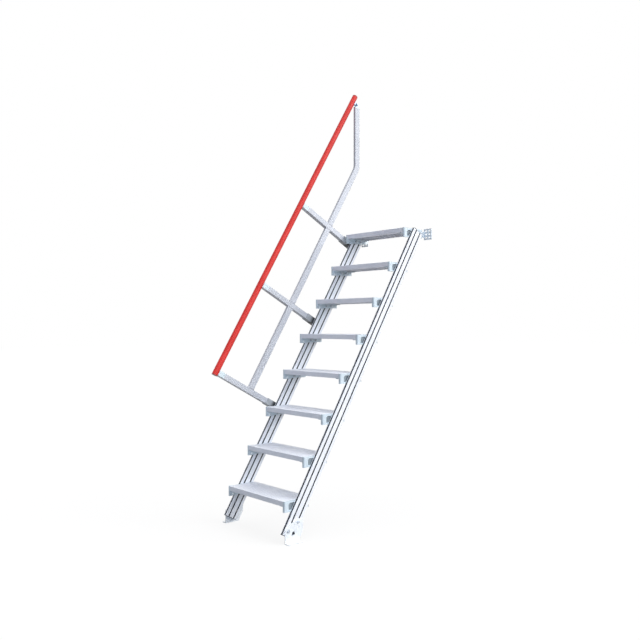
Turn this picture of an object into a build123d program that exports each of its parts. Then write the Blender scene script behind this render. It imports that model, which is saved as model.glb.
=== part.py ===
from build123d import *
from math import sin, cos, tan, radians
import os

os.makedirs("parts", exist_ok=True)

# Fixed industrial stair of aluminium, 60 degrees, eight treads, handrail on the climber's left.
# Millimetres, +X to the climber's right, +Y into the climb, +Z up.
# The stair is laid out from its own middle line, the nose of tread 1 and the floor,
# and then moved so that the origin is the middle of the right foot's flange, on its underside.

# Steps
tread_count = 8
riser = 250.0            # height from one tread top to the next, and from the floor to tread 1
slope_deg = 60.0
going = riser / tan(radians(slope_deg))
tread_length = 600.0
tread_depth = 195.0
tread_height = 32.0
tread_skin = 3.0
tread_wall = 2.5
rib_pitch = 11.0
rib_count = 15
rib_gap = 3.0
rib_depth = 1.0
tread_legs = (79.0, 121.0)

# Stringers, measured square to the slope from the line through the tread noses
stringer_front = 74.0
stringer_rear = 162.0
stringer_thickness = 25.0
stringer_wall = 2.5
slot_lines = (98.0, 138.0)
slot_mouth = 7.0
slot_width = 14.0
slot_depth = 8.5
edge_groove_width = 9.0  # one groove in each narrow face
edge_groove_depth = 7.0
stringer_start = -175.0  # along the slope from the nose of tread 1
stringer_end = 2066.0
end_cap_thickness = 3.0

# Tread brackets
bracket_web = 4.0
bracket_depth = 8.0
bracket_length = 186.0
bracket_height = 62.0
bracket_top_rim = 14.0
bracket_rim = 6.0
cap_length = 31.5
cap_depth = 18.0
ledge_width = 42.0
ledge_thickness = 5.0
bolt_line_z = -47.0      # height of the bolts below the tread top
boss_size = 19.0
hook_spot = (27.0, -55.5)
hook_radius = 5.5

# Feet
foot_thickness = 5.0
foot_leg = 40.0
foot_front = -12.0
foot_rear = 92.0
floor_hole_radius = 5.5
floor_hole_spacing = 60.0

# Top plates
plate_back = 29.637      # from the back of the top bracket to the landing
plate_thickness = 4.0
plate_height = 79.0
plate_above = 6.0        # above the top tread
plate_reach = 45.0       # past the stringer's outer face
plate_columns = (53.0, 20.0)     # in from the plate's outer edge
plate_rows = (57.0, 33.0, 9.0)   # below the top tread
plate_slot_length = 20.0
plate_hole_radius = 5.0
leg_length = 140.0
leg_top = 15.0           # below the top tread
leg_height = 40.0

# Handrail, posts and knee rail, on the left side
tube_radius = 20.0       # the round handrail
tube_bore = 17.5
joint_gap = 0.3
rail_u = 435.0           # handrail height square to the nose line
rail_start = 600.0
rail_end = 3026.0
rail_offset = 7.0        # from the stringer to the face that posts and knee rail share
post_width = 40.0        # across the stair
post_depth = 37.0        # along the slope
post_lines = (621.0, 1307.0, 1994.0)
saddle_drop = 14.0       # from the handrail's middle down to the top of a saddle
saddle_height = 49.0
plug_length = 20.0
knee_thickness = 22.0
knee_width = 43.0
knee_u = 148.5
profile_wall = 2.5
post_foot_u = -158.0
upright_y = 1146.0       # the knee rail's upright part
bend_radius = 100.0
eye_drop = 75.9302       # from the handrail's middle straight down to the fitting's eye
eye_rise = 25.0          # from the top of the upright to the eye
clamp_wall = 3.0
clamp_top_u = -5.0

sine = sin(radians(slope_deg))
cosine = cos(radians(slope_deg))
inner_x = tread_length / 2 + bracket_depth
outer_x = inner_x + stringer_thickness
top_y = (tread_count - 1) * going
top_z = tread_count * riser
plate_face = top_y + bracket_length + plate_back
plate_outer = outer_x + plate_reach
leg_front = plate_face - leg_length
rail_face = -outer_x - rail_offset
rail_x = rail_face - post_width / 2
saddle_top_u = rail_u - saddle_drop
post_top_u = saddle_top_u - saddle_height
eye_z = riser + (rail_u + upright_y * sine) / cosine - eye_drop
upright_top = eye_z - eye_rise

foot_outer_x = outer_x + foot_leg
origin_x = (outer_x + foot_thickness + foot_outer_x) / 2
origin_y = (foot_front + foot_rear) / 2


def on_slope(s, u, x=0.0):
    """Point at distance s along the slope and u above the nose line."""
    return (x, s * cosine - u * sine, riser + s * sine + u * cosine)


def slope_plane(s, u=0.0, x=0.0):
    """Plane square to the slope: local x is +X, local y points back and down."""
    return Plane(origin=on_slope(s, u, x), x_dir=(1, 0, 0), z_dir=(0, cosine, sine))


def across_plane(s, u, x=0.0):
    """Plane square to the posts: its normal points up and forward from the stringer."""
    return Plane(origin=on_slope(s, u, x), x_dir=(1, 0, 0), z_dir=(0, -sine, cosine))


def block(x0, x1, y0, y1, z0, z1):
    """Box between two corners."""
    size = Box(x1 - x0, y1 - y0, z1 - z0)
    return Pos((x0 + x1) / 2, (y0 + y1) / 2, (z0 + z1) / 2) * size


def rect(x0, x1, y0, y1):
    """Flat rectangle between two corners."""
    return Pos((x0 + x1) / 2, (y0 + y1) / 2) * Rectangle(x1 - x0, y1 - y0)


def slope_rod(radius, s0, s1, u, x):
    """Solid round bar along the slope."""
    return extrude(slope_plane(s0, u, x) * Circle(radius), s1 - s0)


def hollow(width, depth, wall):
    """Section of a rectangular tube with slightly broken corners."""
    outside = Rectangle(width, depth)
    outside = chamfer(outside.vertices(), 1.2)
    return outside - Rectangle(width - 2 * wall, depth - 2 * wall)


def side_plate(points, x0, x1):
    """Plate in the side view, drawn as y and z points."""
    face = make_face(Polyline(*[(0, y, z) for y, z in points], close=True))
    return Pos(x0, 0, 0) * extrude(face, x1 - x0, dir=(1, 0, 0))


def x_rod(radius, x0, x1, y, z):
    """Solid round bar across the stair."""
    return Pos((x0 + x1) / 2, y, z) * Rot(0, 90, 0) * Cylinder(radius, x1 - x0)


def x_prism(radius, x0, x1, y, z):
    """Eight-sided bar across the stair, for small holes."""
    return Pos(x0, y, z) * Rot(0, 90, 0) * extrude(RegularPolygon(radius, 8), x1 - x0)


def mirrored(shape):
    """The same piece on the other side of the stair."""
    return mirror(shape, about=Plane.YZ)


def save(shape, name):
    """Move a piece to the origin of the whole part and write it."""
    export_step(Pos(-origin_x, -origin_y, 0) * shape, "parts/" + name + ".step")


# Stringer: a hollow bar with a pair of slots in each wide face, cut square at both ends
half = stringer_thickness / 2
outline = rect(-half, half, stringer_front, stringer_rear)
outline = chamfer(outline.vertices(), 1.2)
for y in (stringer_front + edge_groove_depth / 2, stringer_rear - edge_groove_depth / 2):
    outline = outline - Pos(0, y) * Rectangle(edge_groove_width, edge_groove_depth)
for line in slot_lines:
    for side in (-1, 1):
        pocket_in = side * (half - slot_depth)
        pocket_out = side * (half - stringer_wall)
        mouth = rect(side * half, pocket_out, line - slot_mouth / 2, line + slot_mouth / 2)
        pocket = rect(pocket_in, pocket_out, line - slot_width / 2, line + slot_width / 2)
        outline = outline - mouth - pocket
web = slot_width / 2 + stringer_wall
chambers = (
    (stringer_front + edge_groove_depth + stringer_wall, slot_lines[0] - web),
    (slot_lines[0] + web, slot_lines[1] - web),
    (slot_lines[1] + web, stringer_rear - edge_groove_depth - stringer_wall),
)
for y0, y1 in chambers:
    outline = outline - rect(-half + stringer_wall, half - stringer_wall, y0, y1)
stringer_axis = inner_x + half
stringer = extrude(slope_plane(stringer_start, 0, stringer_axis) * outline, stringer_end - stringer_start)
save(stringer, "stringer_right")
save(mirrored(stringer), "stringer_left")

# End caps of the stringers: a plate and three plugs that go into the hollow chambers
cap_plate = chamfer(rect(-half, half, stringer_front, stringer_rear).vertices(), 1.2)
right_caps = []
left_caps = []
for s, way in ((stringer_start, -1), (stringer_end, 1)):
    cap = extrude(slope_plane(s, 0, stringer_axis) * cap_plate, way * end_cap_thickness)
    for y0, y1 in chambers:
        plug = rect(-half + stringer_wall + 0.3, half - stringer_wall - 0.3, y0 + 0.3, y1 - 0.3)
        cap = cap + extrude(slope_plane(s, 0, stringer_axis) * plug, -way * 12.0)
    right_caps.append(cap)
    left_caps.append(mirrored(cap))
save(Compound(children=right_caps), "stringer_caps_right")
save(Compound(children=left_caps), "stringer_caps_left")

# Tread: one extruded section with a hollow nose, two legs and a hollow rear edge
d = tread_depth
h = tread_height
w = tread_wall
section = rect(0, d, -tread_skin, 0)
section = section + rect(0, 38, -h, 0) - rect(w, 38 - w, -h + w, -tread_skin)
section = section + rect(d - 25, d, -h, 0) - rect(d - 25 + w, d - w, -h + w, -tread_skin)
for y in tread_legs:
    section = section + rect(y - w / 2, y + w / 2, -h, 0) + rect(y - 8, y + 8, -h, -h + w)
front_corners = section.vertices().filter_by(lambda v: v.X < 0.1)
section = chamfer(front_corners, 1.5)
for n in range(rib_count):
    y = 12.0 + n * rib_pitch
    section = section - rect(y, y + rib_gap, -rib_depth, 1)
tread_face = Plane(origin=(-tread_length / 2, 0, 0), x_dir=(0, 1, 0), z_dir=(1, 0, 0)) * section
tread = extrude(tread_face, tread_length)

# Tread bracket: a cast side plate with a rim, a rounded front cap and a ledge under the tread
x0 = tread_length / 2
h_b = bracket_height
plate_points = [(-1.5, 0), (bracket_length, 0), (bracket_length, -h_b), (-1.5, -h_b)]
recess_points = [(36, -bracket_top_rim - 9), (45, -bracket_top_rim), (bracket_length + 1, -bracket_top_rim)]
recess_points = recess_points + [(bracket_length + 1, bracket_rim - h_b), (36, bracket_rim - h_b)]
bracket = side_plate(plate_points, x0, inner_x)
bracket = bracket - side_plate(recess_points, x0 + bracket_web, inner_x + 1)
cap_block = block(x0, x0 + cap_depth, -1.5, cap_length - 1.5, -h_b - 4, 0)
cap_edges = cap_block.edges().filter_by(Axis.Z).group_by(Axis.X)[-1]
cap_block = fillet(cap_edges, 9.0)
bracket = bracket + cap_block
bracket = bracket + block(x0, x0 + cap_depth, cap_length - 3, 44.0, -h_b - 4, 1 - h_b)
bracket = bracket + block(x0 - ledge_width, x0, 10.0, bracket_length - 4, -h - ledge_thickness, -h)
boss_spots = []
for line in slot_lines:
    s = (bolt_line_z + line * cosine) / sine
    boss_spots.append((s * cosine + line * sine, bolt_line_z))
b = boss_size / 2
for y, z in boss_spots:
    bracket = bracket + block(x0, inner_x, y - b, y + b, z - b, z + b)
bracket = bracket - x_prism(hook_radius, x0 - 1, x0 + cap_depth + 1, *hook_spot)

for k in range(tread_count):
    number = str(k + 1)
    spot = Pos(0, k * going, (k + 1) * riser)
    save(spot * tread, "tread_" + number)
    save(spot * bracket, "tread_bracket_right_" + number)
    save(spot * mirrored(bracket), "tread_bracket_left_" + number)

# Foot: a bent plate on the outside of the stringer with slots for setting its height
foot_points = [(foot_front + 2, 0), (foot_front + 2, 86), (32, 118), (88, 140), (118, 132), (122, 118)]
foot_points = foot_points + [(120, 62), (foot_rear, 12), (foot_rear, 0)]
foot = side_plate(foot_points, outer_x, outer_x + foot_thickness)
foot = foot + block(outer_x, foot_outer_x, foot_front + 2, foot_rear, 0, foot_thickness)
corner = [e for e in foot.edges().filter_by(Axis.Y)
          if abs(e.center().X - outer_x - foot_thickness) < 0.1 and abs(e.center().Z - foot_thickness) < 0.1]
foot = fillet(corner, 6.0)
for s, line in ((-143.0, slot_lines[1]), (-146.0, slot_lines[0])):
    foot = foot - extrude(slope_plane(s - 10, -line, outer_x + 2) * Rectangle(20, 9), 20)
    foot = foot - extrude(slope_plane(s - 12, -line, outer_x + 2) * Rectangle(20, 5), 24)
for s, line, radius in ((-72.0, slot_lines[1], 4.5), (-92.0, 119.0, 2.5), (-96.0, 156.0, 3.5)):
    x, y, z = on_slope(s, -line)
    foot = foot - x_prism(radius, outer_x - 1, outer_x + foot_thickness + 1, y, z)
for side in (-1, 1):
    spot = Pos(origin_x, origin_y + side * floor_hole_spacing / 2, 0)
    foot = foot - spot * Cylinder(floor_hole_radius, 30)
save(foot, "foot_right")
save(mirrored(foot), "foot_left")

# Top plate: an angle whose leg is held between the top tread bracket and the stringer
leg_x = x0 + bracket_web
plate_top = top_z + plate_above
plate_bottom = plate_top - plate_height
plate = block(leg_x, plate_outer, plate_face - plate_thickness, plate_face, plate_bottom, plate_top)
leg_bottom = top_z - leg_top - leg_height
plate = plate + block(leg_x, inner_x, leg_front, plate_face, leg_bottom, top_z - leg_top)
reach = plate_slot_length / 2 - plate_hole_radius
r = plate_hole_radius
for column in plate_columns:
    x = plate_outer - column
    for z in (top_z - plate_rows[0], top_z - plate_rows[2]):
        plate = plate - block(x - reach, x + reach, plate_face - 9, plate_face + 5, z - r, z + r)
        for side in (-1, 1):
            spot = Pos(x + side * reach, plate_face, z) * Rot(90, 0, 0)
            plate = plate - spot * Cylinder(r, 20)
    z = top_z - plate_rows[1]
    plate = plate - block(x - reach - 3, x + reach + 3, plate_face - 9, plate_face + 5, z - r, z + r)
    plate = plate - block(x - reach - r, x + reach + r, plate_face - 9, plate_face + 5, z - 3, z + 3)
b = boss_size / 2 + joint_gap
for y, z in boss_spots:
    y1 = y + top_y
    z1 = z + top_z
    plate = plate - block(leg_x - 1, inner_x + 1, y1 - b, y1 + b, z1 - b, z1 + b)
save(plate, "top_plate_right")
save(mirrored(plate), "top_plate_left")

# Handrail: a round tube with a flat cap below and a rounded cap above
handrail = slope_rod(tube_radius, rail_start, rail_end, rail_u, rail_x)
handrail = handrail - slope_rod(tube_bore, rail_start - 1, rail_end + 1, rail_u, rail_x)
save(handrail, "handrail")
lower = slope_rod(tube_radius, rail_start - 4, rail_start, rail_u, rail_x)
plug = RegularPolygon(tube_bore - joint_gap, 12)
lower = lower + extrude(slope_plane(rail_start, rail_u, rail_x) * plug, plug_length)
upper = slope_rod(tube_radius, rail_end, rail_end + 12, rail_u, rail_x)
rim = upper.edges().sort_by(lambda e: e.center().Z)[-1]
upper = chamfer(rim, 6.0)
upper = upper + extrude(slope_plane(rail_end - plug_length, rail_u, rail_x) * plug, plug_length)
save(Compound(children=[lower, upper]), "handrail_caps")

# Posts: rectangular tubes square to the slope, with a cast saddle at the top that carries the handrail
rail_clear = slope_rod(tube_radius + joint_gap, rail_start - 50, rail_end + 50, rail_u, rail_x)
w = post_width - 2 * profile_wall - 2 * joint_gap
d = post_depth - 2 * profile_wall - 2 * joint_gap
saddles = []
for s, name in zip(post_lines, ("lower", "middle", "upper")):
    post = across_plane(s, post_foot_u, rail_x) * hollow(post_width, post_depth, profile_wall)
    post = extrude(post, post_top_u - post_foot_u)
    save(post, "rail_post_" + name)
    outside = chamfer(Rectangle(post_width, post_depth).vertices(), 1.2)
    saddle = extrude(across_plane(s, post_top_u, rail_x) * outside, saddle_top_u - post_top_u)
    plug = extrude(across_plane(s, post_top_u - plug_length, rail_x) * Rectangle(w, d), plug_length)
    saddle = saddle + plug
    saddles.append(saddle - rail_clear)
    # Clamp: a cast cup on the stringer's outer face that the foot of the post stands in
    x_low = rail_x - post_width / 2 - joint_gap - clamp_wall
    reach = post_depth / 2 + joint_gap + clamp_wall
    y_low = -clamp_top_u
    y_high = clamp_wall - post_foot_u + joint_gap
    clamp = extrude(slope_plane(s - reach, 0, 0) * rect(x_low, -outer_x, y_low, y_high), 2 * reach)
    bore = Rectangle(post_width + 2 * joint_gap, post_depth + 2 * joint_gap)
    bore = across_plane(s, post_foot_u - joint_gap, rail_x) * bore
    clamp = clamp - extrude(bore, 300)
    save(clamp, "post_clamp_" + name)
save(Compound(children=saddles), "rail_saddles")

# Knee rail: two straight lengths between posts and a bent length that turns upright
knee_x = rail_face - knee_thickness / 2
knee_section = hollow(knee_thickness, knee_width, profile_wall)
clear = post_depth / 2 + joint_gap
for a, b, name in ((0, 1, "lower"), (1, 2, "middle")):
    length = post_lines[b] - post_lines[a] - 2 * clear
    rail = extrude(slope_plane(post_lines[a] + clear, knee_u, knee_x) * knee_section, length)
    save(rail, "knee_rail_" + name)
bend_s = (upright_y + knee_u * sine) / cosine
start = on_slope(post_lines[2] + clear, knee_u, knee_x)
corner = on_slope(bend_s, knee_u, knee_x)
path = FilletPolyline(start, corner, (knee_x, upright_y, upright_top), radius=bend_radius)
ring = Plane(origin=start, x_dir=(1, 0, 0), z_dir=(0, cosine, sine)) * knee_section
rail = sweep(ring, path=path)
save(rail, "knee_rail_upper")

# Fitting that holds the upright to the underside of the handrail
w = knee_thickness / 2
d = knee_width / 2
inset = profile_wall + joint_gap
eye_x = rail_x + 5
fitting = block(knee_x - w, knee_x + w, upright_y - d, upright_y + d, upright_top, upright_top + 4)
plug = block(knee_x - w + inset, knee_x + w - inset, upright_y - d + inset, upright_y + d - inset,
             upright_top - 16, upright_top)
fitting = fitting + plug
fitting = fitting + block(eye_x - 6, eye_x + 6, upright_y - 9, upright_y + 9, upright_top, eye_z)
fitting = fitting + x_rod(14, eye_x - 7, eye_x + 7, upright_y, eye_z)
s = (upright_y * cosine + (eye_z - riser) * sine)
u = (eye_z - riser) * cosine - upright_y * sine
stub = extrude(across_plane(s, u, eye_x) * Rectangle(12, 14), rail_u - u)
seat = extrude(across_plane(s, rail_u - tube_radius - 9, eye_x - 3) * Rectangle(22, 26), 18)
fitting = fitting + (stub + seat - rail_clear)
save(fitting, "handrail_fitting")
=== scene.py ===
# %% [markdown]
# # A steep aluminium stair with a red handrail
# The solids of the stair come from its CAD model. This lesson gives each of them the finish of the
# real piece, adds the bolts, screws and weld beads that the solids leave out, and sets up the light
# and the camera. All lengths are in metres, in the frame of the CAD model.

# %% Load the frame
import bpy
import bmesh
import math
from mathutils import Matrix, Vector


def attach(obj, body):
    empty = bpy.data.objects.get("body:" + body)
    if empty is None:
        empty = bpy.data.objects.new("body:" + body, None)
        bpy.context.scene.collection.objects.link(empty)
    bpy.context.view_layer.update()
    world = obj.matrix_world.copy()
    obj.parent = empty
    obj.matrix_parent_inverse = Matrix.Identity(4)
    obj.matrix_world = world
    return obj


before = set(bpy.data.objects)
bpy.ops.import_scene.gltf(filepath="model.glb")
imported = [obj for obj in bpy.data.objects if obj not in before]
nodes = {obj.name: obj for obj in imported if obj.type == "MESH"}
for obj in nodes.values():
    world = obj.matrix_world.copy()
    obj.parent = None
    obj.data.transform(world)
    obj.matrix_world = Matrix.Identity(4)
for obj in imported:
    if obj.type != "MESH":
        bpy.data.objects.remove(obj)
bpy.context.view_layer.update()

# %% [markdown]
# ## The stair's own directions
# The stair climbs at 60 degrees. Two directions lie in its side view: along the slope, and square to
# the slope, up and out from the stringer. Small pieces could be placed with plain coordinates, but
# the real stair is drawn with distances along its slope. So one function turns plain distances from
# the nose of the first tread into a point, and a second one does the same on the slope.

# %% Places on the stair
ORIGIN_X = 0.3555
ORIGIN_Y = 0.040
RISER = 0.250
SLOPE = math.radians(60)
GOING = RISER / math.tan(SLOPE)

along_slope = Vector((0, math.cos(SLOPE), math.sin(SLOPE)))
out_of_slope = Vector((0, -math.sin(SLOPE), math.cos(SLOPE)))


def stair_point(x, y, z):
    """A point from the stair's middle line, the nose of tread 1 and the floor."""
    return Vector((x - ORIGIN_X, y - ORIGIN_Y, z))


def slope_point(x, along, out):
    """A point at a distance along the slope and out from the line of the noses."""
    return stair_point(x, 0, RISER) + along_slope * along + out_of_slope * out


print("going of each tread:", round(GOING * 1000, 1), "mm")

# %% [markdown]
# ## Helpers for materials
# Colours are written as the hex values that a paint chart or a picture editor shows. Cycles works in
# linear light, so one function turns a hex value to linear. A second one adds a shader node with its
# settings and its links in one call, which keeps each material short enough to read in one piece.
# Where sockets share a name, their number is used, after an underline: in Map Range 1 and 2 are the
# range it reads and 3 and 4 the range it gives, and in Mix 2 and 3 are numbers, 6 and 7 colours.

# %% Colour and node helpers


def linear(code):
    """An sRGB hex colour as linear red, green, blue and alpha."""
    parts = [int(code[i:i + 2], 16) / 255 for i in (0, 2, 4)]
    return [p / 12.92 if p <= 0.04045 else ((p + 0.055) / 1.055) ** 2.4 for p in parts] + [1.0]


def add_node(tree, kind, settings=None, stops=(), **inputs):
    """Adds a node. Settings are its own options, stops the colours of a ramp, inputs values or links."""
    made = tree.nodes.new(kind)
    for name, value in (settings or {}).items():
        setattr(made, name, value)
    for place, code in stops[2:]:
        made.color_ramp.elements.new(place)
    for element, (place, code) in zip(made.color_ramp.elements if stops else (), stops):
        element.position = place
        element.color = linear(code)
    for name, value in inputs.items():
        socket = made.inputs[int(name[1:]) if name[1:].isdigit() else name.replace("_", " ")]
        if isinstance(value, bpy.types.NodeSocket):
            tree.links.new(value, socket)
        else:
            socket.default_value = value
    return made


def new_material(name):
    """An empty material with its output, and the object's own coordinates."""
    material = bpy.data.materials.new(name)
    material.use_nodes = True
    tree = material.node_tree
    tree.nodes.clear()
    output = add_node(tree, "ShaderNodeOutputMaterial")
    place = add_node(tree, "ShaderNodeTexCoord").outputs["Object"]
    return material, tree, output, place


print("mid grey 808080 in linear light:", round(linear("808080")[0], 3))

# %% [markdown]
# ## Extruded aluminium
# The stringers are pressed hot through a steel die and then lightly etched. The die leaves fine
# straight lines along the bar, and the etched skin is satin: it scatters most of the light and
# mirrors little, so only a small share of it is treated as metal. A photograph of brushed metal could
# be laid on the bars, but a noise pattern that is stretched along the bar has no seams and fits any
# length. A soft cloud pattern gives the uneven tone. Real die lines are about 0.3 mm apart. They are
# drawn 1.2 mm apart here so that they still show in the picture.

# %% Extruded and drawn aluminium
DIE_LINE = 0.0012
LINE_LENGTH = 1 / 6.0
METAL_SHARE = 0.10
CLOUDS_PER_METRE = 9.0


def drawn_aluminium(name, light, dark, lean):
    """Satin aluminium with die lines in one direction of the side view, given by an angle."""
    material, tree, output, place = new_material(name)
    turned = add_node(tree, "ShaderNodeMapping", Vector=place, Rotation=(-lean, 0, 0))
    stretch = add_node(tree, "ShaderNodeMapping", Vector=turned.outputs[0],
                       Scale=(1 / DIE_LINE, 1 / LINE_LENGTH, 1 / DIE_LINE))
    lines = add_node(tree, "ShaderNodeTexNoise", Vector=stretch.outputs[0], Scale=1.0, Detail=2.0)
    cloud = add_node(tree, "ShaderNodeTexNoise", Vector=place, Scale=CLOUDS_PER_METRE, Detail=3.0)
    tone = add_node(tree, "ShaderNodeMix", {"data_type": "FLOAT"}, Factor=0.45,
                    _2=cloud.outputs["Fac"], _3=lines.outputs["Fac"])
    colour = add_node(tree, "ShaderNodeValToRGB", stops=[(0.30, dark), (0.62, light)],
                      Fac=tone.outputs[0])
    dull = add_node(tree, "ShaderNodeMapRange", Value=tone.outputs[0], _1=0.3, _2=0.7, _3=0.58, _4=0.44)
    bump = add_node(tree, "ShaderNodeBump", Height=lines.outputs["Fac"], Strength=0.08, Distance=0.0001)
    shader = add_node(tree, "ShaderNodeBsdfPrincipled", Metallic=METAL_SHARE,
                      Base_Color=colour.outputs[0], Roughness=dull.outputs[0], Normal=bump.outputs[0])
    tree.links.new(shader.outputs[0], output.inputs["Surface"])
    return material, tree, shader, colour, place


stringer_finish, stringer_tree, stringer_shader, stringer_colour, stringer_place = drawn_aluminium(
    "etched_aluminium_stringer", "F7F8FB", "E6E9EF", SLOPE)
tube_finish = drawn_aluminium("drawn_aluminium_knee_rail", "CACCD2", "C3C6CC", SLOPE)[0]
post_finish = drawn_aluminium("drawn_aluminium_post", "CACCD2", "C3C6CC", SLOPE + math.pi / 2)[0]
print("die lines every", DIE_LINE * 1000, "mm on", stringer_finish.name)

# %% [markdown]
# ## Painted shade in the stringers' grooves
# Each stringer has two grooves in each wide face and one in each narrow face. Little light gets into
# them, so they lie in shade, and this shade is painted into the colour as a near black grey. The grooves
# are faces of the solid, so they could have a material slot of their own, but a solid from CAD keeps its
# mesh. The material finds them by place instead: a point that is more than 0.6 mm inside the bar's
# outline lies in a groove. The painted shade also covers a narrow band along the lips of each groove,
# and a band down the middle of each narrow face, which darkens the front face as shade would. One
# Mapping node turns the object's own coordinates into the slope's directions for this.

# %% Groove mask
STRINGER_INNER = 0.308
STRINGER_OUTER = 0.333
STRINGER_FRONT = 0.074
STRINGER_REAR = 0.162
SLOTS = (0.098, 0.138)
SKIN = 0.0006
LIP_SHADE = 0.0048
EDGE_SHADE = 0.0060
SLOPE_SHIFT = (ORIGIN_X, ORIGIN_Y * math.cos(SLOPE) - RISER * math.sin(SLOPE),
               -ORIGIN_Y * math.sin(SLOPE) - RISER * math.cos(SLOPE))

in_slope = add_node(stringer_tree, "ShaderNodeMapping", Vector=stringer_place,
                    Rotation=(-SLOPE, 0, 0), Location=SLOPE_SHIFT)
axes = add_node(stringer_tree, "ShaderNodeSeparateXYZ", Vector=in_slope.outputs[0])
aside = add_node(stringer_tree, "ShaderNodeMath", {"operation": "ABSOLUTE"}, _0=axes.outputs["X"])
inside_width = add_node(stringer_tree, "ShaderNodeMath", {"operation": "COMPARE"},
                        _0=aside.outputs[0], _1=(STRINGER_INNER + STRINGER_OUTER) / 2,
                        _2=(STRINGER_OUTER - STRINGER_INNER) / 2 - SKIN)
inside_depth = add_node(stringer_tree, "ShaderNodeMath", {"operation": "COMPARE"},
                        _0=axes.outputs["Z"], _1=-(STRINGER_FRONT + STRINGER_REAR) / 2,
                        _2=(STRINGER_REAR - STRINGER_FRONT) / 2 - SKIN)
groove = add_node(stringer_tree, "ShaderNodeMath", {"operation": "MULTIPLY"},
                  _0=inside_width.outputs[0], _1=inside_depth.outputs[0])
# painted shade: dark bands along the lips of the grooves and down the middle of the narrow faces
shade_bands = [add_node(stringer_tree, "ShaderNodeMath", {"operation": "COMPARE"},
                   _0=axes.outputs["Z"], _1=-line, _2=LIP_SHADE) for line in SLOTS]
shade_bands.append(add_node(stringer_tree, "ShaderNodeMath", {"operation": "COMPARE"},
                       _0=aside.outputs[0], _1=(STRINGER_INNER + STRINGER_OUTER) / 2,
                       _2=EDGE_SHADE))
for painted_shade in shade_bands:
    groove = add_node(stringer_tree, "ShaderNodeMath", {"operation": "MAXIMUM"},
                      _0=groove.outputs[0], _1=painted_shade.outputs[0])
# painted shade: the grooves and these bands get a near black grey instead of the bare metal's colour
shade_blend = add_node(stringer_tree, "ShaderNodeMix", {"data_type": "RGBA"}, _0=groove.outputs[0],
                 _6=stringer_colour.outputs[0], _7=linear("2A2D33"))
stringer_tree.links.new(shade_blend.outputs[2], stringer_shader.inputs["Base Color"])
shine = add_node(stringer_tree, "ShaderNodeMath", {"operation": "MULTIPLY_ADD"},
                 _0=groove.outputs[0], _1=-METAL_SHARE, _2=METAL_SHARE)
stringer_tree.links.new(shine.outputs[0], stringer_shader.inputs["Metallic"])
print("dark bands over the grooves:", round(2 * LIP_SHADE * 1000, 1), "mm wide")

# %% [markdown]
# ## Ribbed treads
# A tread is extruded too, but its lines run across the stair. Feet polish the tops of its ribs, and dust
# settles between them, so its tone is a little uneven. The tread's colour leans to blue in the
# photograph, as anodised aluminium does. The solid has the large grooves.
# The fine ribs between them, about 2.5 mm apart, would cost many thousand faces, so a wave pattern
# along the depth of the tread adds them as a bump.

# %% Tread aluminium
RIB_PITCH = 0.0025
WAVES_PER_UNIT = 20 / math.tau
TREAD_LINES_PER_METRE = 900.0


def tread_aluminium():
    """Anodised aluminium with die lines across the stair, fine ribs and scuffs."""
    material, tree, output, place = new_material("anodised_aluminium_tread")
    stretch = add_node(tree, "ShaderNodeMapping", Vector=place,
                       Scale=(5.0, TREAD_LINES_PER_METRE, TREAD_LINES_PER_METRE))
    lines = add_node(tree, "ShaderNodeTexNoise", Vector=stretch.outputs[0], Scale=1.0, Detail=2.0)
    cloud = add_node(tree, "ShaderNodeTexNoise", Vector=place, Scale=14.0, Detail=6.0, Roughness=0.65)
    tone = add_node(tree, "ShaderNodeMix", {"data_type": "FLOAT"}, Factor=0.4,
                    _2=cloud.outputs["Fac"], _3=lines.outputs["Fac"])
    colour = add_node(tree, "ShaderNodeValToRGB", stops=[(0.32, "E2E6F1"), (0.60, "EEF1F8")],
                      Fac=tone.outputs[0])
    dull = add_node(tree, "ShaderNodeMapRange", Value=cloud.outputs["Fac"], _1=0.35, _2=0.65,
                    _3=0.56, _4=0.40)
    ribs = add_node(tree, "ShaderNodeTexWave", {"bands_direction": "Y"}, Vector=place,
                    Scale=1 / (WAVES_PER_UNIT * RIB_PITCH), Distortion=0.0)
    height = add_node(tree, "ShaderNodeMath", {"operation": "MULTIPLY_ADD"}, _0=lines.outputs["Fac"],
                      _1=0.4, _2=ribs.outputs["Fac"])
    bump = add_node(tree, "ShaderNodeBump", Height=height.outputs[0], Strength=0.10, Distance=0.0002)
    shader = add_node(tree, "ShaderNodeBsdfPrincipled", Metallic=0.12, Base_Color=colour.outputs[0],
                      Roughness=dull.outputs[0], Normal=bump.outputs[0])
    tree.links.new(shader.outputs[0], output.inputs["Surface"])
    return material


tread_finish = tread_aluminium()
print("fine ribs every", RIB_PITCH * 1000, "mm on", tread_finish.name)

# %% [markdown]
# ## Cast and bent aluminium
# The tread brackets, the saddles and the post clamps are cast in sand, which leaves a grain in their
# skin, and it scatters light more than an extruded bar does. Sand grains are 0.3 mm wide or so. They
# are drawn about 1 mm wide, or they would not show. The feet and the top plates are cut from rolled
# sheet, which is smoother and has faint clouds from the rolls. The grain could be real dents in the
# mesh, but at this size a bump looks the same. Both finishes are one recipe with another grain size,
# depth and tone.

# %% Cast and sheet aluminium


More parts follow.
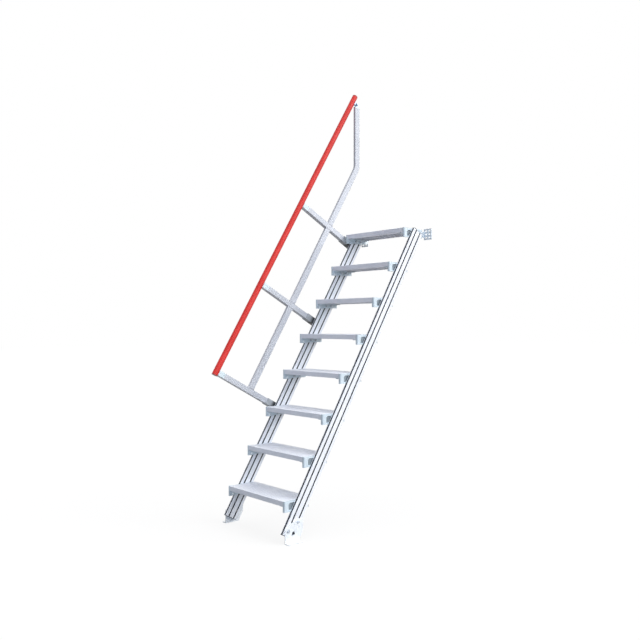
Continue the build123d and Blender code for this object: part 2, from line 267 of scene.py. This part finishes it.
def grained_aluminium(name, light, dark, grain, depth, rough):
    """Cast or rolled aluminium: a fine grain and soft clouds of tone."""
    material, tree, output, place = new_material(name)
    grit = add_node(tree, "ShaderNodeTexNoise", Vector=place, Scale=1 / grain, Detail=3.0)
    cloud = add_node(tree, "ShaderNodeTexNoise", Vector=place, Scale=22.0, Detail=4.0)
    tone = add_node(tree, "ShaderNodeMix", {"data_type": "FLOAT"}, Factor=0.35,
                    _2=cloud.outputs["Fac"], _3=grit.outputs["Fac"])
    colour = add_node(tree, "ShaderNodeValToRGB", stops=[(0.30, dark), (0.62, light)],
                      Fac=tone.outputs[0])
    dull = add_node(tree, "ShaderNodeMapRange", Value=cloud.outputs["Fac"], _1=0.3, _2=0.7,
                    _3=rough + 0.08, _4=rough - 0.05)
    bump = add_node(tree, "ShaderNodeBump", Height=grit.outputs["Fac"], Strength=0.35, Distance=depth)
    shader = add_node(tree, "ShaderNodeBsdfPrincipled", Metallic=METAL_SHARE,
                      Base_Color=colour.outputs[0], Roughness=dull.outputs[0], Normal=bump.outputs[0])
    tree.links.new(shader.outputs[0], output.inputs["Surface"])
    return material, tree, shader, colour, place


bracket_finish, bracket_tree, bracket_shader, bracket_colour, bracket_place = grained_aluminium(
    "sand_cast_aluminium", "DDE8EE", "CFDCE4", 0.0010, 0.0004, 0.48)
saddle_finish = grained_aluminium(
    "cast_aluminium_saddle", "DAE6EA", "CAD7DC", 0.0010, 0.0003, 0.48)[0]
foot_finish = grained_aluminium(
    "rolled_aluminium_sheet", "F6F9FB", "E8EDF1", 0.0030, 0.0001, 0.40)[0]
plate_finish = grained_aluminium(
    "rolled_aluminium_plate", "EEF5FA", "E0EAF1", 0.0030, 0.0001, 0.42)[0]
clamp_finish, clamp_tree, clamp_shader, clamp_colour, clamp_place = grained_aluminium(
    "dark_cast_aluminium", "B4B7BA", "A3A7AB", 0.0012, 0.0005, 0.55)
print("cast finishes:", bracket_finish.name, saddle_finish.name, clamp_finish.name)
print("sheet finishes:", foot_finish.name, plate_finish.name)

# %% [markdown]
# ## Painted shade in the bracket recess
# The outer side of each bracket is cast 4 mm lower between its rim and the stringer. This pocket lies in
# shade, and the shade is painted into its colour as a dull grey with an uneven tone. It could be painted
# face by face, but the floor of every pocket lies at one distance from the stair's middle, so the
# material finds it by that distance.

# %% Recess mask
POCKET_FLOOR = 0.304
POCKET_BAND = 0.0004
shifted = add_node(bracket_tree, "ShaderNodeMapping", Vector=bracket_place, Location=(ORIGIN_X, 0, 0))
axes = add_node(bracket_tree, "ShaderNodeSeparateXYZ", Vector=shifted.outputs[0])
aside = add_node(bracket_tree, "ShaderNodeMath", {"operation": "ABSOLUTE"}, _0=axes.outputs["X"])
pocket = add_node(bracket_tree, "ShaderNodeMath", {"operation": "COMPARE"}, _0=aside.outputs[0],
                  _1=POCKET_FLOOR, _2=POCKET_BAND)
# painted shade: the pocket floor gets a dull grey of uneven tone instead of the cast skin's colour
pocket_shade_noise = add_node(bracket_tree, "ShaderNodeTexNoise", Vector=bracket_place, Scale=45.0, Detail=4.0)
pocket_shade_grey = add_node(bracket_tree, "ShaderNodeValToRGB", stops=[(0.35, "7A848A"), (0.65, "929CA2")],
                     Fac=pocket_shade_noise.outputs["Fac"])
shade_blend = add_node(bracket_tree, "ShaderNodeMix", {"data_type": "RGBA"}, _0=pocket.outputs[0],
                 _6=bracket_colour.outputs[0], _7=pocket_shade_grey.outputs[0])
bracket_tree.links.new(shade_blend.outputs[2], bracket_shader.inputs["Base Color"])
print("pocket floors:", round(POCKET_FLOOR * 1000), "mm from the middle")

# %% [markdown]
# ## Painted shade in the post clamps
# The cups that hold the posts are plain grey castings. Where a cup meets the stringer, the corner lies
# in shade, and that shade is painted in, almost black, which the eye reads as a deep joint. Darkening
# that follows the corners of the mesh would darken every edge alike, so the painted shade grows over the
# last 25 mm down the cup, by the distance out from the slope.

# %% Clamp painted shade
SHADE_START = -0.036
SHADE_FULL = -0.061
in_slope = add_node(clamp_tree, "ShaderNodeMapping", Vector=clamp_place, Rotation=(-SLOPE, 0, 0),
                    Location=SLOPE_SHIFT)
axes = add_node(clamp_tree, "ShaderNodeSeparateXYZ", Vector=in_slope.outputs[0])
# painted shade: the cup darkens to near black towards the stringer
painted_shade = add_node(clamp_tree, "ShaderNodeMapRange", Value=axes.outputs["Z"], _1=SHADE_START,
                 _2=SHADE_FULL)
shade_blend = add_node(clamp_tree, "ShaderNodeMix", {"data_type": "RGBA"}, _0=painted_shade.outputs[0],
                 _6=clamp_colour.outputs[0], _7=linear("34373A"))
clamp_tree.links.new(shade_blend.outputs[2], clamp_shader.inputs["Base Color"])
print("stain grows over", round((SHADE_START - SHADE_FULL) * 1000), "mm")

# %% [markdown]
# ## Red powder coat and plastic caps
# The handrail is an aluminium tube under a baked powder coat. The powder flows out into a skin with
# a faint ripple like the peel of an orange, about 2.5 mm from crest to crest. It is a plastic layer
# and no metal, and its gloss is satin, so the red stays full right up to the edges of the tube. A
# clear coat over a duller red would shine like car paint, so one layer is enough. The caps in the
# tubes and bars are injection moulded, in a mould with a fine spark texture. Its real pits are
# 0.1 mm wide, and they are drawn 0.9 mm wide so that the caps don't look polished.

# %% Powder coat and moulded plastic
PEEL = 0.0025
SPARK_PIT = 0.0009


def powder_coat(name, light, dark):
    """Baked powder paint with a fine orange peel."""
    material, tree, output, place = new_material(name)
    peel = add_node(tree, "ShaderNodeTexNoise", Vector=place, Scale=1 / PEEL, Detail=1.0)
    cloud = add_node(tree, "ShaderNodeTexNoise", Vector=place, Scale=7.0, Detail=3.0)
    colour = add_node(tree, "ShaderNodeValToRGB", stops=[(0.35, dark), (0.65, light)],
                      Fac=cloud.outputs["Fac"])
    dull = add_node(tree, "ShaderNodeMapRange", Value=cloud.outputs["Fac"], _1=0.3, _2=0.7,
                    _3=0.50, _4=0.42)
    bump = add_node(tree, "ShaderNodeBump", Height=peel.outputs["Fac"], Strength=0.10, Distance=0.0002)
    paint = add_node(tree, "ShaderNodeBsdfPrincipled", Base_Color=colour.outputs[0],
                     Roughness=dull.outputs[0], Normal=bump.outputs[0], IOR=1.5,
                     Specular_IOR_Level=0.28)
    tree.links.new(paint.outputs[0], output.inputs["Surface"])
    return material


def moulded_plastic(name, light, dark, rough):
    """Injection moulded plastic with the fine spark texture of its mould."""
    material, tree, output, place = new_material(name)
    spark = add_node(tree, "ShaderNodeTexNoise", Vector=place, Scale=1 / SPARK_PIT, Detail=2.0)
    cloud = add_node(tree, "ShaderNodeTexNoise", Vector=place, Scale=40.0, Detail=3.0)
    colour = add_node(tree, "ShaderNodeValToRGB", stops=[(0.35, dark), (0.65, light)],
                      Fac=cloud.outputs["Fac"])
    bump = add_node(tree, "ShaderNodeBump", Height=spark.outputs["Fac"], Strength=0.25, Distance=0.0002)
    plastic = add_node(tree, "ShaderNodeBsdfPrincipled", Base_Color=colour.outputs[0],
                       Roughness=rough, Normal=bump.outputs[0], IOR=1.5)
    tree.links.new(plastic.outputs[0], output.inputs["Surface"])
    return material


handrail_finish = powder_coat("red_powder_coat", "DC3A34", "D1322C")
red_cap_finish = moulded_plastic("dark_red_plastic", "A5302B", "942823", 0.40)
grey_cap_finish = moulded_plastic("grey_plastic", "565A60", "474B50", 0.55)
print("orange peel every", PEEL * 1000, "mm on", handrail_finish.name)

# %% [markdown]
# ## Plated steel
# Bolts, nuts and washers are steel with a thin skin of zinc. The rear foot bolts get the same recipe in
# near black, which is painted shade for the dark hole at their place. Zinc looks like a cool grey metal
# with tiny bright and dull crystals, so a cell pattern changes both the tone and the roughness a little.
# A smooth mirror would be simpler, but it makes small bolts sparkle. Real crystals are finer than 0.1
# mm, and they are drawn 1.6 mm wide so that a bolt head has a few of them.

# %% Plated steel
CRYSTAL = 0.0016


def plated_steel(name, light, dark, rough):
    """Steel with a thin plated skin and small crystals of tone."""
    material, tree, output, place = new_material(name)
    crystals = add_node(tree, "ShaderNodeTexVoronoi", Vector=place, Scale=1 / CRYSTAL)
    cloud = add_node(tree, "ShaderNodeTexNoise", Vector=place, Scale=60.0, Detail=3.0)
    tone = add_node(tree, "ShaderNodeMix", {"data_type": "FLOAT"}, Factor=0.4,
                    _2=cloud.outputs["Fac"], _3=crystals.outputs["Color"])
    colour = add_node(tree, "ShaderNodeValToRGB", stops=[(0.25, dark), (0.70, light)],
                      Fac=tone.outputs[0])
    dull = add_node(tree, "ShaderNodeMapRange", Value=tone.outputs[0], _1=0.2, _2=0.8,
                    _3=rough + 0.08, _4=rough - 0.06)
    steel = add_node(tree, "ShaderNodeBsdfPrincipled", Metallic=1.0, Base_Color=colour.outputs[0],
                     Roughness=dull.outputs[0])
    tree.links.new(steel.outputs[0], output.inputs["Surface"])
    return material


bolt_finish = plated_steel("zinc_plated_steel", "C6CBD2", "9CA2AA", 0.34)
fitting_finish = plated_steel("zinc_plated_fitting", "A4B1C0", "7E8B9C", 0.38)
# painted shade: a near black steel for the rear foot bolts, standing for a shaded hole
dark_bolt_finish = plated_steel("shade_dark_bolt", "4A4D52", "2C2F33", 0.45)
print("steel finishes:", bolt_finish.name, fitting_finish.name, dark_bolt_finish.name)

# %% [markdown]
# ## Give the solids their finishes
# Each solid keeps its shape, so only its material slots change. Forty-five lines could say which
# piece has which finish, but like pieces share the start of their name. One list goes by that, with
# the longer starts first, and the first start that fits is used.

# %% Dress the CAD nodes
finish_of = {
    "stringer_caps": grey_cap_finish,
    "stringer_": stringer_finish,
    "tread_bracket": bracket_finish,
    "tread_": tread_finish,
    "foot_": foot_finish,
    "top_plate": plate_finish,
    "handrail_caps": red_cap_finish,
    "handrail_fitting": fitting_finish,
    "handrail": handrail_finish,
    "rail_post": post_finish,
    "post_clamp": clamp_finish,
    "rail_saddles": saddle_finish,
    "knee_rail": tube_finish,
}
for name, piece in nodes.items():
    start = next(key for key in finish_of if name.startswith(key))
    piece.data.materials.clear()
    piece.data.materials.append(finish_of[start])
print("finishes given to", len(nodes), "solids")

# %% [markdown]
# ## Bolts
# The brackets, the feet and the fitting are held by hexagon nuts and heads on plain washers. Each one
# is a washer, a six-sided prism with the corners of its free end turned off, and the end of the bolt.
# One object for each bolt would be easy to move, but a stair has dozens of them. So one function adds
# a bolt to a mesh at a place and along an axis, and each group of bolts becomes one object. The
# proportions are those of common bolts, as shares of the thread's diameter.

# %% A function that adds a bolt
WASHER_THICK = 0.2
WASHER_RADIUS = 1.02
NUT_TALL = 0.72
NUT_RADIUS = 0.9
NUT_CORNER = 0.1


def add_bolt(mesh, place, axis, size=0.008, tail=0.004):
    """Adds one washer, nut and bolt end to a bmesh. Size is the thread's diameter."""
    turn = Vector((0, 0, 1)).rotation_difference(Vector(axis).normalized()).to_matrix().to_4x4()
    move = Matrix.Translation(place) @ turn
    thick = size * WASHER_THICK
    bmesh.ops.create_cone(mesh, cap_ends=True, segments=20, radius1=size * WASHER_RADIUS,
                          radius2=size * WASHER_RADIUS, depth=thick,
                          matrix=move @ Matrix.Translation((0, 0, thick / 2)))
    tall = size * NUT_TALL
    nut = bmesh.ops.create_cone(mesh, cap_ends=True, segments=6, radius1=size * NUT_RADIUS,
                                radius2=size * NUT_RADIUS, depth=tall,
                                matrix=move @ Matrix.Translation((0, 0, thick + tall / 2)))
    top = [v for v in nut["verts"] if (move.inverted() @ v.co).z > thick + tall * 0.9]
    rim = list({e for v in top for e in v.link_edges if e.other_vert(v) in top})
    bmesh.ops.bevel(mesh, geom=rim, offset=size * NUT_CORNER, segments=1, profile=0.5,
                    affect="EDGES", material=-1)
    end = tall + thick + tail
    bmesh.ops.create_cone(mesh, cap_ends=True, segments=12, radius1=size / 2, radius2=size * 0.42,
                          depth=end - thick,
                          matrix=move @ Matrix.Translation((0, 0, (end + thick) / 2)))


print("an 8 mm nut is", round(2 * NUT_RADIUS * 8, 1), "mm over its corners")

# %% [markdown]
# ## From mesh to piece
# A bmesh is a shape in memory. To show, it has to become a mesh of an object that rides on the stair.
# All new pieces go the same way, so one function does it. The places are already in the mesh, so
# every object stays at the origin, as the solids from CAD do.

# %% A function that finishes a piece


def finish_piece(mesh, name, finish, smooth=False):
    """Turns a bmesh into an object that rides on the stair."""
    data = bpy.data.meshes.new(name)
    mesh.to_mesh(data)
    mesh.free()
    piece = bpy.data.objects.new(name, data)
    bpy.context.scene.collection.objects.link(piece)
    data.materials.append(finish)
    for face in data.polygons:
        face.use_smooth = smooth
    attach(piece, "root")
    print(name, len(data.polygons), "faces")


# %% [markdown]
# ## Bolts through the tread brackets
# Each bracket is held to the stringer by two bolts whose square heads slide in the stringer's slots.
# Their nuts sit on the inner face of the bracket, below the ledge. Two more screws come up through
# the ledge into the legs of the tread. An array modifier could repeat one tread's bolts up the stair,
# but a loop over the treads keeps both sides and both kinds in step.

# %% Bracket bolts
TREADS = 8
BRACKET_FACE = 0.300
BOLT_DROP = 0.047
LEDGE_MIDDLE = 0.278
LEDGE_DROP = 0.037
TREAD_LEGS = (0.079, 0.121)

nuts = bmesh.new()
screws = bmesh.new()
for k in range(TREADS):
    for side in (-1, 1):
        for line in SLOTS:
            along = (-BOLT_DROP + line * math.cos(SLOPE)) / math.sin(SLOPE)
            y = along * math.cos(SLOPE) + line * math.sin(SLOPE)
            place = stair_point(side * BRACKET_FACE, k * GOING + y, (k + 1) * RISER - BOLT_DROP)
            add_bolt(nuts, place, (-side, 0, 0))
        for leg in TREAD_LEGS:
            place = stair_point(side * LEDGE_MIDDLE, k * GOING + leg, (k + 1) * RISER - LEDGE_DROP)
            add_bolt(screws, place, (0, 0, -1), size=0.007, tail=0.0)
finish_piece(nuts, "bracket_nuts", bolt_finish)
finish_piece(screws, "tread_screws", bolt_finish)

# %% [markdown]
# ## Bolts at the feet
# The feet are bolted to the outer slots of the stringers through their own long slots, which set the
# height. The rear bolt of each foot is coloured near black: this is painted shade for the dark spot of a
# hole at that place. One mesh with two materials could hold them all. Two meshes keep one finish for
# each piece, which is simpler to change.

# %% Foot bolts
FOOT_FACE = 0.338
FOOT_BOLT = 0.0085
BRIGHT_BOLTS = ((-0.146, 0.098), (-0.072, 0.138))
SHADE_DARK_BOLT = (-0.143, 0.138)

foot_bolts = bmesh.new()
dark_bolts = bmesh.new()
for side in (-1, 1):
    for along, line in BRIGHT_BOLTS:
        place = slope_point(side * FOOT_FACE, along, -line)
        add_bolt(foot_bolts, place, (side, 0, 0), size=FOOT_BOLT, tail=0.001)
    # painted shade: the rear bolt is near black where a dark hole shows
    place = slope_point(side * FOOT_FACE, SHADE_DARK_BOLT[0], -SHADE_DARK_BOLT[1])
    add_bolt(dark_bolts, place, (side, 0, 0), size=FOOT_BOLT, tail=0.001)
finish_piece(foot_bolts, "foot_bolts", bolt_finish)
finish_piece(dark_bolts, "foot_bolts_dark", dark_bolt_finish)

# %% [markdown]
# ## Bolt in the handrail's fitting
# The eye at the top of the upright is clamped by one bolt across the stair, with its nut towards the
# climber. It is larger than the others, and the same function makes it.

# %% Fitting bolt
eye_bolt = bmesh.new()
add_bolt(eye_bolt, stair_point(-0.348, 1.146, 3.029), (1, 0, 0), size=0.012, tail=0.004)
finish_piece(eye_bolt, "fitting_bolt", fitting_finish)

# %% [markdown]
# ## Screws in the post clamps
# Two flat socket screws go through each side of a post clamp into the foot of its post. Their heads
# lie almost flush, so a washer and a nut would stand out too far. Each head is a flat disc that
# narrows to its face. The face is inset, and its middle is sunk for the key.

# %% Clamp screws
RAIL_X = -0.360
POSTS = (0.621, 1.307, 1.994)
CLAMP_HALF = 0.0218
SCREW_HEAD = 0.0008
KEY_DEPTH = 0.0005

screws = bmesh.new()
for along in POSTS:
    for line in SLOTS:
        for way in (-1, 1):
            axis = along_slope * way
            place = slope_point(RAIL_X, along + way * CLAMP_HALF, -line) + axis * SCREW_HEAD / 2
            turn = Vector((0, 0, 1)).rotation_difference(axis).to_matrix().to_4x4()
            disc = bmesh.ops.create_cone(screws, cap_ends=True, segments=24, radius1=0.0075,
                                         radius2=0.0068, depth=SCREW_HEAD,
                                         matrix=Matrix.Translation(place) @ turn)
            sides = {face for vert in disc["verts"] for face in vert.link_faces}
            top = max(sides, key=lambda face: face.calc_center_median().dot(axis))
            bmesh.ops.inset_individual(screws, faces=[top], thickness=0.0035)
            bmesh.ops.translate(screws, vec=-axis * KEY_DEPTH, verts=top.verts)
finish_piece(screws, "clamp_screws", bolt_finish)

# %% [markdown]
# ## Weld beads
# The knee rail butts against the posts and is welded there. On the face towards the stair the bead is
# ground flush. A bead round a round tube could be a spun ring, but these tubes are rectangular, so
# the bead is a thin rounded collar: a box a little larger than the tube, with its edges rounded. Its
# skin is then pushed in and out by small steps, as the drops of the weld overlap.

# %% A function that adds a weld collar
WELD_PROUD = 0.0022
WELD_TALL = 0.0040
DROP_HEIGHT = 0.0003
DROP_PITCH = math.tau / 2600


def add_collar(mesh, place, axis, across, width, depth):
    """A weld bead round a rectangular tube: axis runs along the tube, across is its width."""
    start = len(mesh.verts)
    z = Vector(axis).normalized()
    x = Vector(across).normalized()
    y = z.cross(x)
    stand = Matrix.Translation(place) @ Matrix((x, y, z)).transposed().to_4x4()
    box = bmesh.ops.create_cube(mesh, size=1.0)["verts"]
    bmesh.ops.scale(mesh, vec=(width + WELD_PROUD, depth + 2 * WELD_PROUD, WELD_TALL), verts=box)
    bmesh.ops.translate(mesh, vec=(-WELD_PROUD / 2, 0, 0), verts=box)
    edges = list({e for v in box for e in v.link_edges})
    bmesh.ops.bevel(mesh, geom=edges, offset=WELD_TALL * 0.35, segments=2, profile=0.5,
                    affect="EDGES", material=-1)
    mesh.verts.ensure_lookup_table()
    edges = {e for v in mesh.verts[start:] for e in v.link_edges}
    long_edges = [e for e in edges if e.calc_length() > 0.01]
    bmesh.ops.subdivide_edges(mesh, edges=long_edges, cuts=9, use_grid_fill=True)
    mesh.verts.ensure_lookup_table()
    new = mesh.verts[start:]
    for v in new:
        if v.co.x < width / 2 - 0.001:
            v.co.x -= DROP_HEIGHT * math.sin(v.co.y * math.tau / DROP_PITCH)
        v.co.y += math.copysign(DROP_HEIGHT, v.co.y) * math.sin(v.co.x * math.tau / DROP_PITCH)
    bmesh.ops.transform(mesh, matrix=stand, verts=new)


print("a weld drop every", round(DROP_PITCH * 1000, 1), "mm")

# %% [markdown]
# ## The beads of the knee rail
# The knee rail passes three posts. It ends below the lowest post, so that post has one bead, and the
# other two have one on each side.

# %% Weld beads
POST_HALF = 0.0185
BEAD_MIDDLE = 0.0015
RAIL_FACE = -0.340
KNEE_OUT = 0.1485
KNEE_WIDTH = 0.022
KNEE_DEPTH = 0.043

beads = bmesh.new()
for i, along in enumerate(POSTS):
    middle = slope_point(RAIL_FACE - KNEE_WIDTH / 2, along, KNEE_OUT)
    for way in (1, -1) if i else (1,):
        place = middle + along_slope * way * (POST_HALF + BEAD_MIDDLE)
        add_collar(beads, place, along_slope, (1, 0, 0), KNEE_WIDTH, KNEE_DEPTH)
finish_piece(beads, "knee_rail_welds", tube_finish, smooth=True)

# %% [markdown]
# ## Floor and world
# The photograph shows the stair on plain white. More light would make any floor white, but it would
# also wash out the pale aluminium. So the floor is a dull dark plane that glows only for the camera
# and for reflections, and the world does the same. The stair sees a dim room, its undersides stay
# dark, and the floor keeps a soft shadow.

# %% Floor and world
FLOOR_HALF = 40.0
FLOOR_GLOW = 0.88
ROOM_LIGHT = 0.12

floor_mesh = bmesh.new()
bmesh.ops.create_grid(floor_mesh, x_segments=1, y_segments=1, size=FLOOR_HALF)
floor_data = bpy.data.meshes.new("floor")
floor_mesh.to_mesh(floor_data)
floor_mesh.free()
floor = bpy.data.objects.new("floor", floor_data)
bpy.context.scene.collection.objects.link(floor)


def seen_rays(tree):
    """A value that is 1 where the camera, a mirror or a glass looks, and 0 for the light."""
    ray = add_node(tree, "ShaderNodeLightPath")
    seen = add_node(tree, "ShaderNodeMath", {"operation": "MAXIMUM"},
                    _0=ray.outputs["Is Camera Ray"], _1=ray.outputs["Is Glossy Ray"])
    seen = add_node(tree, "ShaderNodeMath", {"operation": "MAXIMUM"},
                    _0=seen.outputs[0], _1=ray.outputs["Is Transmission Ray"])
    return seen.outputs[0]


paper = bpy.data.materials.new("white_paper")
paper.use_nodes = True
tree = paper.node_tree
tree.nodes.clear()
output = add_node(tree, "ShaderNodeOutputMaterial")
glow = add_node(tree, "ShaderNodeMath", {"operation": "MULTIPLY"}, _0=seen_rays(tree), _1=FLOOR_GLOW)
sheet = add_node(tree, "ShaderNodeBsdfPrincipled", Base_Color=linear("585858"), Roughness=1.0,
                 Specular_IOR_Level=0.0, Emission_Color=(1, 1, 1, 1), Emission_Strength=glow.outputs[0])
tree.links.new(sheet.outputs[0], output.inputs["Surface"])
floor_data.materials.append(paper)

scene = bpy.context.scene
world = bpy.data.worlds.new("studio")
scene.world = world
world.use_nodes = True
tree = world.node_tree
tree.nodes.clear()
output = add_node(tree, "ShaderNodeOutputWorld")
level = add_node(tree, "ShaderNodeMapRange", Value=seen_rays(tree), _3=ROOM_LIGHT, _4=1.0)
sky = add_node(tree, "ShaderNodeBackground", Color=(1, 1, 1, 1), Strength=level.outputs[0])
tree.links.new(sky.outputs[0], output.inputs["Surface"])
print("floor", round(2 * FLOOR_HALF), "m wide, room light", ROOM_LIGHT)

# %% [markdown]
# ## Lamps
# In the photograph the outer faces of the stringers are almost white, the tops of the treads are
# bright and the noses are a bluish grey. Three broad suns give that: a key from the right and a
# little behind, a top light from almost overhead, and a weaker bluish fill from the front right.
# Area lamps would fade with distance along a stair of 3 m, and suns don't. Their wide angle keeps the
# shadows soft.

# %% Three suns


def add_sun(name, strength, heading, height, size, colour="FFFFFF"):
    """A sun whose light comes from a compass heading (0 is +X, 90 is +Y) and a height in degrees."""
    lamp = bpy.data.lights.new(name, "SUN")
    lamp.energy = strength
    lamp.angle = math.radians(size)
    lamp.color = linear(colour)[:3]
    holder = bpy.data.objects.new(name, lamp)
    bpy.context.scene.collection.objects.link(holder)
    turn = math.radians(heading)
    lift = math.radians(height)
    source = Vector((math.cos(lift) * math.cos(turn), math.cos(lift) * math.sin(turn), math.sin(lift)))
    holder.rotation_euler = source.to_track_quat("Z", "Y").to_euler()
    print("sun", name, "from heading", heading, "and height", height)


add_sun("key", strength=2.35, heading=31, height=30, size=45)
add_sun("top", strength=2.4, heading=75, height=80, size=60)
add_sun("front_fill", strength=1.3, heading=-40, height=14, size=40, colour="DAE8FF")

# %% [markdown]
# ## Camera
# The camera could be placed by eye, but the eight tread noses are eight known lines. A camera was
# fitted to points on them, and it gave the place, the heading and the focal length below. The
# picture's upright lines stay parallel, so the camera looks level, and the picture is shifted
# instead of the camera tilted. The focal length and the middle are in pixels of the 640 pixel frame.

# %% Camera
FRAME = 640
FOCAL = 720.13
MIDDLE_X = 418.84
MIDDLE_Y = 324.92
SENSOR = 36.0
CAMERA_YAW = math.radians(44.231)
CAMERA_PLACE = (3.9117, -2.5368, 1.3144)

camera_data = bpy.data.cameras.new("camera")
camera_data.sensor_width = SENSOR
camera_data.lens = FOCAL / FRAME * SENSOR
camera_data.shift_x = (FRAME / 2 - MIDDLE_X) / FRAME
camera_data.shift_y = (MIDDLE_Y - FRAME / 2) / FRAME
camera_data.clip_end = 200.0
camera = bpy.data.objects.new("camera", camera_data)
scene.collection.objects.link(camera)
camera.location = stair_point(*CAMERA_PLACE)
camera.rotation_euler = (math.radians(90), 0, CAMERA_YAW)
scene.camera = camera
scene.view_settings.view_transform = "Standard"
print("lens", round(camera_data.lens, 1), "mm, camera at", [round(v, 2) for v in camera.location])
